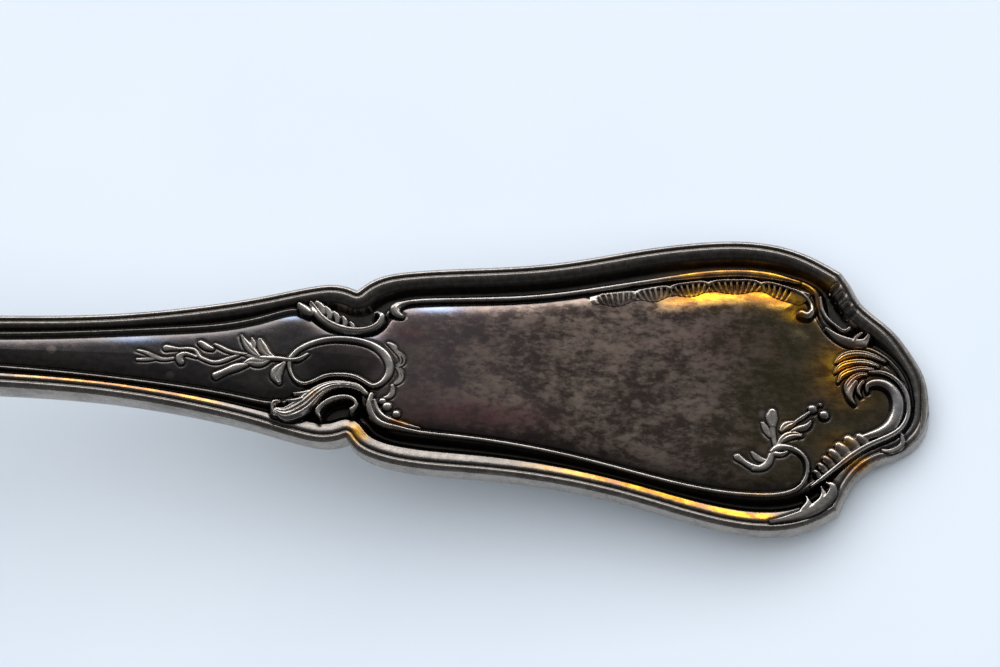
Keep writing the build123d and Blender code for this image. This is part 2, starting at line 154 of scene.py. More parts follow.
# -------------------- curves
class Smooth:
    """A natural cubic spline through plan points, by chord length."""

    def __init__(self, points):
        self.p = np.array(points, float)
        step = np.linalg.norm(np.diff(self.p[:, :2], axis=0), axis=1)
        self.t = np.concatenate([[0.0], np.cumsum(step)])
        n = len(self.p)
        a, b = np.zeros((n, n)), np.zeros_like(self.p)
        a[0, 0] = a[-1, -1] = 1.0
        for i in range(1, n - 1):
            h0, h1 = step[i - 1], step[i]
            a[i, i - 1:i + 2] = h0, 2 * (h0 + h1), h1
            b[i] = 6 * ((self.p[i + 1] - self.p[i]) / h1 - (self.p[i] - self.p[i - 1]) / h0)
        self.m = np.linalg.solve(a, b)

    def at(self, t):
        t = np.asarray(t, float)
        i = np.clip(np.searchsorted(self.t, t) - 1, 0, len(self.t) - 2)
        h = (self.t[i + 1] - self.t[i])[:, None]
        u, v = (self.t[i + 1] - t)[:, None], (t - self.t[i])[:, None]
        m0, m1, p0, p1 = self.m[i], self.m[i + 1], self.p[i], self.p[i + 1]
        return (m0 * u**3 + m1 * v**3) / (6 * h) + (p0 / h - m0 * h / 6) * u + (p1 / h - m1 * h / 6) * v

    def spaced(self, spacing):
        return self.at(np.linspace(0, self.t[-1], max(8, int(self.t[-1] / spacing) + 1)))


def smoothstep(low, high, value):
    s = np.clip((value - low) / (high - low), 0, 1)
    return s * s * (3 - 2 * s)


def bell(value, centre, width):
    return np.exp(-(((value - centre) / width) ** 2))


def nearest(x, y, line, reach=6.0):
    """Distance from each point to a line of close samples, and which sample is nearest."""
    distance, index = np.empty(len(x)), np.empty(len(x), int)
    order, batch = np.argsort(x, kind="stable"), 2500
    for part in np.array_split(order, max(1, len(x) // batch)):
        near = np.flatnonzero((line[:, 0] > x[part].min() - reach)
                              & (line[:, 0] < x[part].max() + reach))
        if not len(near):
            distance[part], index[part] = reach, 0
            continue
        q = line[near].astype(np.float32)
        d2 = ((x[part, None].astype(np.float32) - q[:, 0]) ** 2
              + (y[part, None].astype(np.float32) - q[:, 1]) ** 2)
        best = d2.argmin(axis=1)
        distance[part] = np.sqrt(d2[np.arange(len(part)), best])
        index[part] = near[best]
    return distance, index


side = Smooth([(x, z) for x, z, _ in SIDE_VIEW]).spaced(SIDE_SPACING)
under = Smooth([(x, z - t) for x, z, t in SIDE_VIEW]).spaced(SIDE_SPACING)


def joined(*runs):
    """Close samples along several smooth runs, which meet at corners."""
    return np.vstack([Smooth(run).spaced(SPACING) for run in runs])


upper_edge = joined(STEM_EDGE, UPPER_FLANK, UPPER_SHOULDER)
lower_edge = joined([(x, -y) for x, y in STEM_EDGE], LOWER_FLANK, LOWER_SHOULDER)
outline = np.vstack([upper_edge, lower_edge[::-1]])
panel_edge = joined(PANEL_UPPER, PANEL_LOWER)


def top_z(x):
    """Height of the lip plane."""
    return np.interp(x, side[:, 0], side[:, 1])


def bottom_z(x):
    """Height of the underside."""
    return np.interp(x, under[:, 0], under[:, 1])


def inside(x, y, loop):
    """Whether points lie inside a closed loop, by crossing number."""
    result = np.zeros(len(x), bool)
    step = max(1, len(loop) // LOOP_SIDES)
    a = loop[::step]
    b = np.roll(a, -1, axis=0)
    for (x0, y0), (x1, y1) in zip(a, b):
        if y0 == y1:
            continue
        crossing = (y0 > y) != (y1 > y)
        result ^= crossing & (x < (x1 - x0) * (y - y0) / (y1 - y0) + x0)
    return result


def ground(x, y):
    """Height of the struck handle without its ornament, and the shade painted into its hollows and over its
    far border.
    """
    edge, _ = nearest(x, y, outline)
    rim, _ = nearest(x, y, panel_edge)
    rim = np.where(inside(x, y, panel_edge), -rim, rim)
    out, deep = np.clip(rim, 0, None), np.clip(-rim, 0, None)
    border = smoothstep(-23.0, -10.0, x)              # the border runs out on the stem
    lip = -EDGE_DROP * np.clip(1 - edge / EDGE_ROUND, 0, 1) ** 2
    groove = -GROOVE_DEPTH * bell(edge, GROOVE_AT, 0.13) * (rim > 0)
    # The cove: a gentle outer slope, a steep-sided channel and a soft shoulder up to the panel.
    width = np.clip(edge + out - COVE_FROM, 0.3, 2.1)
    from_edge, from_panel = np.clip(edge - COVE_FROM, 0, None) / width, out / width
    fall = 0.28 * smoothstep(-0.1, 0.46, from_edge) + 0.72 * smoothstep(0.30, 0.60, from_edge)
    climb = 0.8 * smoothstep(0.34, 0.10, from_panel) + 0.2 * smoothstep(0.2, 0.0, from_panel)
    cove = -np.minimum(COVE_DEPTH, COVE_SLOPE * width) * fall * (1 - climb) * (rim > 0)
    foot = -0.13 * bell(deep, 0.34, 0.14) - 0.10 * smoothstep(0.0, 0.3, deep)
    crown = PANEL_CROWN * (1 - np.exp(-np.clip(deep - 0.35, 0, None) / 0.9))
    crown *= 1 - 0.7 * smoothstep(92.0, 96.5, x)
    corner = smoothstep(82.0, 85.5, x) * smoothstep(96.5, 94.0, x) * smoothstep(3.5, 5.0, y)
    hollow = -SHELL_HOLLOW * corner * smoothstep(3.3, 1.3, deep) * smoothstep(0.0, 0.5, deep)
    shape = lip + border * (groove + cove + foot + crown + hollow)
    channel = smoothstep(0.30, 0.50, from_edge) * smoothstep(0.03, 0.18, from_panel) * (rim > 0)
    far_side = (y > 0) * smoothstep(0.05, 0.2, from_edge) * smoothstep(0.0, 0.1, from_panel) * (rim > 0)
    # Painted shade: darkest on the floor of the near cove, lighter over the far border, and also in the
    # groove, along the panel's foot and inside the cartouche ring.
    shade = border * np.maximum.reduce([
        0.85 * channel * (y < 0), 0.5 * far_side + 0.2 * channel * (y > 0),
        0.6 * bell(edge, GROOVE_AT, 0.12) * (rim > 0), 0.75 * bell(deep, 0.30, 0.13) * (rim < 0.1),
        0.6 * smoothstep(1.25, 0.8, np.hypot((x - 59.3) / 3.2, (y - 0.1) / 1.5)),
    ])
    return top_z(x) + shape, np.clip(shade, 0, 1), edge, rim


def blobs(x, y, places):
    """Soft-edged ovals, the strongest one at each point."""
    total = np.zeros(len(x))
    for cx, cy, rx, ry, weight in places:
        total = np.maximum(total, weight * np.exp(-((x - cx) / rx) ** 2 - ((y - cy) / ry) ** 2))
    return total


def blooms(x, y, edge, rim):
    """Strength of the gold, rose and blue colour of the film."""
    far, near = y > 0, y < 0
    deep = -rim
    ridge = smoothstep(82.0, 86.5, x) * smoothstep(97.0, 95.8, x) * far * bell(rim, 0.2, 0.7)
    glow = smoothstep(82.5, 86.5, x) * smoothstep(96.0, 95.0, x) * smoothstep(5.0, 6.0, y)
    glow *= bell(deep, 1.8, 1.05)
    cove = smoothstep(72.0, 82.0, x) * smoothstep(94.0, 92.5, x) * near * bell(edge, 1.15, 0.3)
    stem = 0.7 * smoothstep(52.0, 47.0, x) * near * bell(edge, 1.0, 0.22) * smoothstep(30.0, 40.0, x)
    gold = np.maximum.reduce([ridge, glow, cove, stem, blobs(x, y, GOLD_PLACES)])
    return {"gold": gold, "rose": blobs(x, y, ROSE_PLACES), "blue": blobs(x, y, BLUE_PLACES)}


# -------------------- meshes
def make_mesh(name, vertices_mm, faces, material, attributes):
    """A smooth-shaded object; attributes holds one number for each vertex under each name."""
    mesh = bpy.data.meshes.new(name)
    mesh.from_pydata([tuple(v) for v in np.asarray(vertices_mm) * MM], [], faces)
    mesh.update()
    for key, values in attributes.items():
        layer = mesh.attributes.new(key, "FLOAT", "POINT")
        layer.data.foreach_set("value", np.asarray(values, np.float32))
    mesh.materials.append(material)
    mesh.polygons.foreach_set("use_smooth", np.ones(len(mesh.polygons), bool))
    thing = bpy.data.objects.new(name, mesh)
    bpy.context.collection.objects.link(thing)
    return thing


def grid_faces(rows, columns, first=0):
    """Quads between the points of a grid whose first point has the index first."""
    i, j = np.meshgrid(np.arange(rows - 1), np.arange(columns - 1), indexing="ij")
    a = first + i * columns + j
    return np.stack([a, a + columns, a + columns + 1, a + 1], axis=-1).reshape(-1, 4).tolist()


def place(thing, slot, *nodes):
    """Fix a piece to the spoon's only body, in place of CAD nodes."""
    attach(thing, "root")
    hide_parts(*nodes)


# -------------------- handle
def wall_middle(y, z):
    """Station of the middle of the bowl's wall, on the side of the stem."""
    along, across, down = BOWL_BACK - WALL / 2, BOWL_ACROSS - WALL / 2, BOWL_DOWN - WALL / 2
    return BOWL_X + along * np.sqrt(np.clip(1 - (y / across) ** 2 - ((BOWL_Z - z) / down) ** 2, 0, 1))


def out_of_bowl(x, y, z):
    """Move the stem's points that would lie inside the bowl to the middle of the bowl's wall."""
    row = np.arange(x.shape[0])[:, None]
    return np.maximum(x, wall_middle(y, z) + ROW_STEP * row)


def stations():
    """Rows across the handle, close together where the detail is fine."""
    return np.concatenate([
        np.arange(NECK_X + 0.2, -36.0, 0.2), np.arange(-36.0, 28.0, 0.5), np.arange(28.0, 44.0, 0.14),
        np.arange(44.0, 64.5, 0.07), np.arange(64.5, 90.0, 0.1), np.arange(90.0, 104.4, 0.05),
        np.arange(104.4, TIP_X - 0.004, 0.02),
    ])


def edge_at(x, edge):
    """How far out an edge lies at each station."""
    return np.interp(x, edge[:, 0], edge[:, 1])


def handle_top(xs, high, low):
    """Plan points of the handle's top face, one row for each station."""
    t = np.linspace(-1, 1, ACROSS)
    t = np.sign(t) * (1 - (1 - np.abs(t)) ** CROWDING)
    y = (high + low)[:, None] / 2 + (high - low)[:, None] / 2 * t[None, :]
    x = np.repeat(xs[:, None], ACROSS, axis=1)
    for _ in range(4):                                  # the top rises with the station
        x = out_of_bowl(x, y, top_z(x) - 0.1)
    return x.ravel(), y.ravel()


def handle_sides(xs, high, low):
    """Points down the two sides and across the underside, with a softened edge."""
    thick = (top_z(xs) - bottom_z(xs))[:, None] - SIDE_START
    half, centre = (high - low)[:, None] / 2, (high + low)[:, None] / 2
    share = np.array([0.35, 0.7, 0.9, 1.0, 1.0, 1.0, 1.0, 0.9, 0.7, 0.35])
    inset = np.array([0.0, 0.0, 0.1, 0.35, 1.0, 1.0, 0.35, 0.1, 0.0, 0.0])
    sign = np.repeat([-1.0, 1.0], 5)
    y = centre + sign * np.clip(half - inset, 0, None)
    z = top_z(xs)[:, None] - SIDE_START - thick * share
    x = out_of_bowl(np.repeat(xs[:, None], len(share), axis=1), y, z)
    return np.stack([x, y, z], axis=-1)


def handle_faces(rows, count, pole):
    """Faces of the top, of the strip of count points below it and of the two ends."""
    first = rows * ACROSS
    faces = [face[::-1] for face in grid_faces(rows, ACROSS)] + grid_faces(rows, count, first)
    for i in range(rows - 1):                            # close the two sides
        a, b = i * ACROSS, (i + 1) * ACROSS
        c, d = first + i * count, first + (i + 1) * count
        faces.append([a, b, d, c])
        a, b = a + ACROSS - 1, b + ACROSS - 1
        c, d = c + count - 1, d + count - 1
        faces.append([b, a, c, d])
    for row, flip in ((0, False), (rows - 1, True)):
        ring = list(range(row * ACROSS, (row + 1) * ACROSS))
        ring += list(range(first + row * count + count - 1, first + row * count - 1, -1))
        for a, b in zip(ring, ring[1:] + ring[:1]):
            faces.append((b, a, pole + 1) if flip else (a, b, pole))
    return faces


def make_handle(material, strokes):
    xs = stations()
    high, low = edge_at(xs, upper_edge), edge_at(xs, lower_edge)
    x, y = handle_top(xs, high, low)
    z, shade, edge, rim = ground(x, y)
    gap = room_to_relief(x, y, strokes)
    z = z - CHASED_GROOVE * bell(gap, 0.06, 0.13)
    # Painted shade, with some grime, in a dark ring round the foot of each ornament.
    shade = np.maximum(shade, 0.85 * np.exp(-(np.clip(gap, 0, None) / 0.2) ** 2))
    strip = handle_sides(xs, high, low)
    middle = (top_z(xs[0]) + bottom_z(xs[0])) / 2        # the end in the bowl's wall follows its curve
    ends = [(wall_middle(0.0, middle), 0.0, middle),
            (xs[-1], (high[-1] + low[-1]) / 2, (strip[-1, 0, 2] + strip[-1, 4, 2]) / 2)]
    vertices = np.vstack([np.column_stack([x, y, z]), strip.reshape(-1, 3), ends])
    faces = handle_faces(len(xs), strip.shape[1], len(vertices) - len(ends))
    zero = np.zeros(len(vertices) - len(x))
    crest = np.maximum(0.8 * bell(edge, 0.12, 0.2), 0.12 * bell(edge, COVE_FROM, 0.14) * (rim > 0.3))
    attributes = {
        "shade": np.concatenate([shade, zero]),
        "flat": np.concatenate([smoothstep(0.3, 0.9, -rim) * smoothstep(0.0, 0.4, gap), zero]),
        "crest": np.concatenate([crest, zero + 0.8]),
    }
    for key, values in blooms(x, y, edge, rim).items():
        attributes[key] = np.concatenate([values, zero])
    place(make_mesh("handle", vertices, faces, material, attributes), "silver_handle", "handle_blank")


# -------------------- bowl and neck
def bowl_radius(turn, grow):
    """Radius in plan at the height of the ellipsoids' centre."""
    along = np.where(np.cos(turn) < 0, BOWL_FRONT, BOWL_BACK) + grow
    return 1 / np.hypot(np.cos(turn) / along, np.sin(turn) / (BOWL_ACROSS + grow))


def bowl_wall(turn, grow, below_rim, share):
    """Points down one face of the bowl: share runs from that far below the rim to the bottom."""
    radius, down = bowl_radius(turn, grow), BOWL_DOWN + grow
    x = BOWL_X + radius * np.cos(turn)
    for _ in range(4):
        top = RIM_HEIGHT + RIM_SLOPE * (x - BOWL_X) - below_rim
        start = np.arcsin((BOWL_Z - top) / down)
        x = BOWL_X + radius * np.cos(start) * np.cos(turn)
    angle = start + (math.pi / 2 - start) * share
    r = radius * np.cos(angle)
    z = np.maximum(BOWL_Z - down * np.sin(angle), 0.0)
    return np.column_stack([BOWL_X + r * np.cos(turn), r * np.sin(turn), z])


def make_bowl(material):
    """A closed shell: the outer face, the rounded rim and the inner face."""
    turns = np.linspace(0, 2 * math.pi, BOWL_TURNS + 1)[:-1]
    shares = np.linspace(0.985, 0.0, BOWL_LAYERS) ** 1.15      # closer together near the bottom
    loops = [bowl_wall(turns, 0.0, RIM_ROUND, share) for share in shares]
    outer, inner = bowl_wall(turns, 0.0, 0.0, 0.0), bowl_wall(turns, -WALL, 0.0, 0.0)
    for across, drop in ((0.06, 0.16), (0.2, 0.04), (0.5, 0.0), (0.8, 0.04), (0.94, 0.16)):
        loops.append(outer + (inner - outer) * across - [0, 0, drop])
    loops += [bowl_wall(turns, -WALL, RIM_ROUND, share) for share in shares[::-1]]
    count = BOWL_TURNS
    vertices = np.vstack(loops + [[(BOWL_X, 0, 0.0)], [(BOWL_X, 0, WALL - 0.12)]])
    faces = []
    for i in range(len(loops) - 1):
        for j in range(count):
            k = (j + 1) % count
            faces.append((i * count + j, i * count + k, (i + 1) * count + k, (i + 1) * count + j))
    last, poles = (len(loops) - 1) * count, len(loops) * count
    for j in range(count):
        k = (j + 1) % count
        faces.append((poles, k, j))
        faces.append((poles + 1, last + j, last + k))
    height = np.repeat([loop[:, 2].mean() for loop in loops], count)
    rim = bell(height, RIM_HEIGHT, 0.5)
    crest = np.concatenate([0.42 + 0.4 * rim, [0.42, 0.42]])
    inside_face = np.concatenate([np.repeat(np.arange(len(loops)) > len(shares) + 2, count), [0, 1]])
    crest = crest - 0.12 * inside_face * smoothstep(6.0, 1.5, vertices[:, 2])
    place(make_mesh("bowl_shell", vertices, faces, material, {"crest": crest}), "silver_bowl", "bowl")


def make_seam(material):
    """The line of solder round the stem where it meets the bowl."""
    x0 = BOWL_X + BOWL_BACK
    half = edge_at(x0 - SOLDER_IN, upper_edge)
    top, bottom = top_z(x0 - SOLDER_IN), bottom_z(x0 - 1.5 * SOLDER_IN)
    corner = 0.35
    section = [(-half, top - corner), (-half + corner, top), (0.0, top), (half - corner, top),
               (half, top - corner), (half, bottom + corner), (half - corner, bottom), (0.0, bottom),
               (-half + corner, bottom), (-half, bottom + corner), (-half, top - corner)]
    path = np.vstack([np.linspace(a, b, 12)[:-1] for a, b in zip(section[:-1], section[1:])])
    room = np.clip(1 - (path[:, 0] / BOWL_ACROSS) ** 2 - ((BOWL_Z - path[:, 1]) / BOWL_DOWN) ** 2, 0, 1)
    line = np.column_stack([BOWL_X + BOWL_BACK * np.sqrt(room), path])
    centre = line.mean(axis=0)
    spokes = 10
    vertices = []
    for point in line:
        outward = (point - centre) * [0, 1, 1]
        outward = outward / np.linalg.norm(outward)
        for k in range(spokes):
            turn = 2 * math.pi * k / spokes
            away = math.cos(turn) * outward + math.sin(turn) * np.array([1.0, 0, 0])
            vertices.append(point + SOLDER_RADIUS * away)
    count, faces = len(line), []
    for i in range(count):
        for k in range(spokes):
            a, b = i * spokes + k, i * spokes + (k + 1) % spokes
            c, d = (i + 1) % count * spokes + (k + 1) % spokes, (i + 1) % count * spokes + k
            faces.append((a, b, c, d))
    thing = make_mesh("solder_line", vertices, faces, material, {"crest": np.full(len(vertices), 0.3)})
    place(thing, "silver_solder", "neck_solder_seam")


# -------------------- relief
def room_to_relief(x, y, strokes):
    """Distance from each point to the foot of the nearest stroke, negative beneath it."""
    gap = np.full(len(x), 5.0)
    for stroke in strokes:
        x0, y0, x1, y1 = stroke.box()
        near = np.flatnonzero((x > x0 - CHASED_REACH) & (x < x1 + CHASED_REACH)
                              & (y > y0 - CHASED_REACH) & (y < y1 + CHASED_REACH))
        if len(near):
            d, i = nearest(x[near], y[near], stroke.line, reach=3.0)
            gap[near] = np.minimum(gap[near], d - stroke.half[i])
    return gap


class Stroke:
    """One raised stroke: a smooth centre line with a half width and a height along it.

    kind is the cross-section: round, band (flat topped), leaf (a chased vein) or fold (leaning
    to one side).  flutes adds fine lines along the stroke.
    """

    bare_below = 0.0                # no part of a stroke keeps the film of the panel

    def __init__(self, points, halves, height=0.4, kind="round", flutes=0):
        count = len(points)
        if not isinstance(halves, (list, tuple)):
            halves = [halves * 0.7] + [halves] * (count - 2) + [halves * 0.7]
        heights = height if isinstance(height, (list, tuple)) else [height] * count
        rows = [(x, y, w, h) for (x, y), w, h in zip(points, halves, heights)]
        samples = Smooth(rows).spaced(SPACING)
        self.line, self.half = samples[:, :2], np.clip(samples[:, 2], 0.05, None)
        self.height = samples[:, 3]
        self.kind, self.flutes = kind, flutes
        step = np.gradient(self.line, axis=0)
        self.along = step / np.maximum(np.linalg.norm(step, axis=1), 1e-9)[:, None]

    def box(self):
        """Plan rectangle round the stroke."""
        pad = self.half.max() + 0.15
        return np.concatenate([self.line.min(axis=0) - pad, self.line.max(axis=0) + pad])

    def profile(self, u, side_of):
        """Section from 0 at the foot to 1 at the crest; u runs from 0 in the middle to 1 at the foot."""
        inner = np.clip(u, 0, 1)
        dome = np.sqrt(np.clip(1 - inner**2, 0, 1))
        if self.kind == "band":
            s = np.sqrt(np.clip(1 - inner**4, 0, 1))
        elif self.kind == "leaf":
            s = dome * (1 - 0.3 * bell(u, 0.0, 0.22))
        elif self.kind == "fold":
            across = np.clip(u * side_of, -1, 1)
            s = np.sqrt(np.clip(1 - np.abs(across) ** 4, 0, 1)) * (0.62 + 0.38 * (across + 1) / 2)
        else:
            s = dome
        if self.flutes:
            s = s * (1 - 0.07 * (0.5 + 0.5 * np.cos(np.pi * self.flutes * u * side_of)))
        return s

    def rise(self, x, y, floor, level):
        """Height of the stroke's own surface over points, and its profile from 0 to 1."""
        d, i = nearest(x, y, self.line, reach=3.0)
        half, crest = self.half[i], self.height[i]
        u = d / half
        offset_x, offset_y = x - self.line[i, 0], y - self.line[i, 1]
        side_of = np.sign(self.along[i, 0] * offset_y - self.along[i, 1] * offset_x)
        s = self.profile(u, side_of)
        z = floor * (1 - s) + (level + crest) * s
        z = np.where(u > 1, floor - 0.5 * (u - 1) * half, z)
        return z, np.where(u > 1, 0, s)


class ShellEdge:
    """A scalloped line with short flutes fanning down from it, as on the edge of a shell."""

    JOINTS = (79.0, 82.0, 84.7, 87.7, 91.9, 95.6)       # where one scallop meets the next
    FLUTE = 0.5                                         # spacing of the flutes (mm)
    bare_below = 0.5                                    # the flutes keep the film of the panel
    REACH = 1.3                                         # how far the flutes run

    def __init__(self, points):
        self.line = Smooth(points).spaced(SPACING)
        self.half = np.full(len(self.line), 0.1)
        step = np.gradient(self.line, axis=0)
        self.along = step / np.linalg.norm(step, axis=1)[:, None]
        self.phase = np.interp(self.line[:, 0], self.JOINTS, np.arange(len(self.JOINTS))) % 1.0

    def box(self):
        """Plan rectangle round the scallops."""
        pad = self.REACH + 0.2
        return np.concatenate([self.line.min(axis=0) - pad, self.line.max(axis=0) + pad])

    def rise(self, x, y, floor, level):
        """Height of the lip and the flutes over points, and their profile from 0 to 1."""
        d, i = nearest(x, y, self.line, reach=4.0)
        offset_x, offset_y = x - self.line[i, 0], y - self.line[i, 1]
        below = -(self.along[i, 0] * offset_y - self.along[i, 1] * offset_x)
        run, phase = i * SPACING, self.phase[i]
        joint = np.abs(2 * phase - 1)
        lip_at = 0.28 * joint**6
        lip_half = 0.13 + 0.17 * joint**8
        lip = np.sqrt(np.clip(1 - ((below - lip_at) / lip_half) ** 2, 0, 1))
        under = np.clip((below - lip_at) / self.REACH, 0, 1)
        fan = run + 0.9 * under * (phase - 0.5) * self.REACH
        flute = 1 - np.abs(np.cos(np.pi * fan / self.FLUTE)) ** 3
        reach = 0.55 + 0.45 * np.sin(np.pi * phase)
        fade = (below > lip_at) * np.clip(1 - under / reach, 0, 1) ** 0.7
        ends = smoothstep(0.0, 1.0, run) * (d < self.REACH + 0.2)
        lip_z = floor + (level + 0.16 - floor) * lip * ends
        flute_z = floor + (0.03 + 0.24 * flute * fade) * ends - 0.2 * (fade < 0.05)
        z = np.where(ends > 0.01, np.maximum(np.where(lip > 0, lip_z, floor - 0.2), flute_z), floor - 0.2)
        # The profile falls to nothing in the gaps between the flutes, so painted shade darkens them.
        gap = (1 - flute) * np.clip(2.5 * fade, 0, 1)
        return z, np.where(lip > 0.2, lip, 0.48 * (1 - gap))


def make_relief(name, strokes, material):
    """A patch of fine mesh over the strokes; its border dips just under the handle."""
    boxes = np.array([s.box() for s in strokes])
    x0, y0 = boxes[:, :2].min(axis=0)
    x1, y1 = boxes[:, 2:].max(axis=0)
    nx, ny = int((x1 - x0) / RELIEF_GRID) + 2, int((y1 - y0) / RELIEF_GRID) + 2
    gx, gy = np.meshgrid(x0 + RELIEF_GRID * np.arange(nx), y0 + RELIEF_GRID * np.arange(ny), indexing="ij")
    x, y = gx.ravel(), gy.ravel()
    cover = np.zeros(len(x), bool)
    for b in boxes:
        cover |= (x > b[0]) & (x < b[2]) & (y > b[1]) & (y < b[3])
    floor, level = np.full(len(x), -9.0), top_z(x)
    where = np.flatnonzero(cover)
    edge, rim = np.full(len(x), 9.0), np.full(len(x), 9.0)
    floor[where], _, edge[where], rim[where] = ground(x[where], y[where])
    z, profile, bare = floor - 0.4, np.zeros(len(x)), np.zeros(len(x))
    for stroke, b in zip(strokes, boxes):
        near = np.flatnonzero((x > b[0]) & (x < b[2]) & (y > b[1]) & (y < b[3]))
        rise, s = stroke.rise(x[near], y[near], floor[near], level[near])
        profile[near] = np.where(rise > z[near], s, profile[near])
        bare[near] = np.where(rise > z[near], s < stroke.bare_below, bare[near])
        z[near] = np.maximum(z[near], rise)
    keep = (z > floor - 0.03).reshape(nx, ny)
    cell = keep[:-1, :-1] | keep[1:, :-1] | keep[:-1, 1:] | keep[1:, 1:]
    i, j = np.nonzero(cell)
    a = i * ny + j
    quads = np.stack([a, a + ny, a + ny + 1, a + 1], axis=-1)
    used = np.unique(quads)
    lookup = np.full(nx * ny, -1)
    lookup[used] = np.arange(len(used))
    z = np.maximum(z, floor - SKIRT)
    vertices = np.column_stack([x[used], y[used], z[used]])
    # Shade painted into the relief: in its hollows, where tarnish also gathers, and down the low sides and
    # feet of every stroke.
    blur = local_mean(z.reshape(nx, ny), cover.reshape(nx, ny), 4).ravel()
    hollow = np.clip((blur - z) * 5.0, 0, 1)[used]
    s = profile[used]
    attributes = {
        "shade": np.clip(hollow + 0.85 * smoothstep(0.34, 0.04, s), 0, 1),
        "crest": 0.8 * smoothstep(0.3, 0.8, s),
        "flat": np.maximum(smoothstep(0.25, 0.1, s) * (rim[used] < 0), bare[used]),
    }
    attributes.update(blooms(x[used], y[used], edge[used], rim[used]))
    place(make_mesh(name, vertices, lookup[quads].tolist(), material, attributes), "silver_relief", name)


def local_mean(values, cover, radius):
    """Mean over a square neighbourhood, leaving out the places with no ground."""
    weight = cover.astype(float)
    total = np.where(cover, values, 0.0)
    for axis in (0, 1):
        sums, weights = np.zeros_like(total), np.zeros_like(weight)
        for shift in range(-radius, radius + 1):
            sums += np.roll(total, shift, axis=axis)
            weights += np.roll(weight, shift, axis=axis)
        total, weight = sums, weights
    return total / np.maximum(weight, 1e-9)


def bead(x, y, r, height=0.4):
    """A round boss: a stroke with hardly any length."""
    return Stroke([(x - 0.02, y), (x, y), (x + 0.02, y)], [r, r, r], height)


def ornament(*rows):
    """Strokes from rows of points, half widths and height, then a kind and a number of flutes."""
    return [Stroke(*row) for row in rows]


def cartouche_frame():
    ring = [
        (55.4, 0.0), (55.95, 0.7), (56.65, 1.2), (57.65, 1.65), (58.85, 1.9), (60.05, 1.9),
        (61.25, 1.65), (62.25, 1.1), (62.95, 0.3), (63.2, -0.5), (63.05, -1.3), (62.65, -1.8),
        (62.05, -2.1), (61.35, -1.8), (60.45, -1.35), (59.25, -1.25), (58.15, -1.45),
        (57.35, -1.9), (56.55, -2.15), (55.95, -1.9), (55.55, -1.3), (55.35, -0.6), (55.4, 0.0),
    ]
    widths = [0.2, 0.22, 0.23, 0.24, 0.25, 0.26, 0.28, 0.32, 0.34, 0.32, 0.28, 0.22,
              0.2, 0.22, 0.22, 0.2, 0.2, 0.18, 0.16, 0.16, 0.16, 0.17, 0.18]
    return [Stroke(ring, widths, 0.42)]


def cartouche_shell_edge():
    return ornament(
        ([(62.95, 1.65), (63.35, 1.35), (63.6, 0.95)], [0.12, 0.2, 0.12], 0.3),
        ([(63.65, 0.9), (64.05, 0.5), (64.15, 0.0), (63.85, -0.3)], [0.12, 0.19, 0.2, 0.12], 0.3),
        ([(63.8, -0.5), (64.1, -0.95), (64.05, -1.55), (63.75, -1.85)], [0.12, 0.19, 0.2, 0.12], 0.3),
        ([(63.5, -2.05), (63.55, -2.55), (63.3, -3.0), (62.95, -3.1)], [0.12, 0.2, 0.2, 0.12], 0.3),
    )


def leaf_spray():
    stem = [(56.7, 0.4), (56.2, 0.0), (55.5, -0.2), (54.6, -0.12), (53.9, -0.1), (52.8, -0.05), (51.9, 0.1)]
    return ornament(
        (stem, [0.12, 0.16, 0.18, 0.2, 0.2, 0.16, 0.1], [0.4, 0.5, 0.52, 0.5, 0.45, 0.38, 0.3]),
        ([(54.1, 0.0), (53.55, 0.3), (53.15, 0.8), (52.9, 1.45)], [0.14, 0.32, 0.4, 0.22], 0.42, "leaf"),
        ([(52.9, 0.05), (52.35, 0.5), (51.85, 1.1), (51.4, 1.8)], [0.16, 0.34, 0.3, 0.12], 0.42, "leaf"),
        ([(52.4, 0.6), (52.4, 1.1), (52.25, 1.6)], [0.16, 0.24, 0.1], 0.38),
        ([(54.95, -0.5), (54.6, -0.95), (54.4, -1.5), (54.65, -2.1)],
         [0.18, 0.4, 0.5, 0.24], 0.42, "leaf"),
        ([(53.7, -0.25), (53.0, -0.5), (52.35, -0.45), (51.9, -0.6)],
         [0.2, 0.4, 0.36, 0.16], 0.4, "leaf"),
        ([(52.0, -0.75), (51.3, -0.95), (50.5, -1.3), (49.65, -1.75)], [0.16, 0.32, 0.28, 0.32], 0.4),
        ([(51.9, 0.2), (51.2, 0.25), (50.4, 0.45), (49.8, 0.75), (49.4, 0.95)],
         [0.1, 0.15, 0.17, 0.18, 0.14], 0.36),
        ([(49.2, 0.55), (48.7, 0.75), (48.25, 1.05)], [0.18, 0.3, 0.26], 0.4),
        ([(51.3, 0.05), (50.6, -0.25), (49.9, -0.55), (49.3, -0.6), (48.7, -0.4), (48.2, -0.1),
          (47.95, 0.3), (47.3, 0.5), (46.5, 0.45), (45.9, 0.5), (45.6, 0.5)],
         [0.1, 0.16, 0.16, 0.15, 0.14, 0.14, 0.14, 0.15, 0.15, 0.24, 0.3], 0.34),
        ([(48.0, -0.2), (47.5, -0.02), (47.0, 0.02), (46.7, -0.3), (46.85, -0.7)],
         [0.1, 0.15, 0.2, 0.3, 0.26], 0.36),
        ([(46.2, -0.4), (45.4, -0.5), (44.7, -0.3), (44.1, 0.0), (43.4, 0.2)],
         [0.1, 0.13, 0.15, 0.13, 0.1], 0.28),
        ([(44.9, -0.4), (44.2, -0.55), (43.4, -0.6)], [0.12, 0.13, 0.1], 0.26),
    )


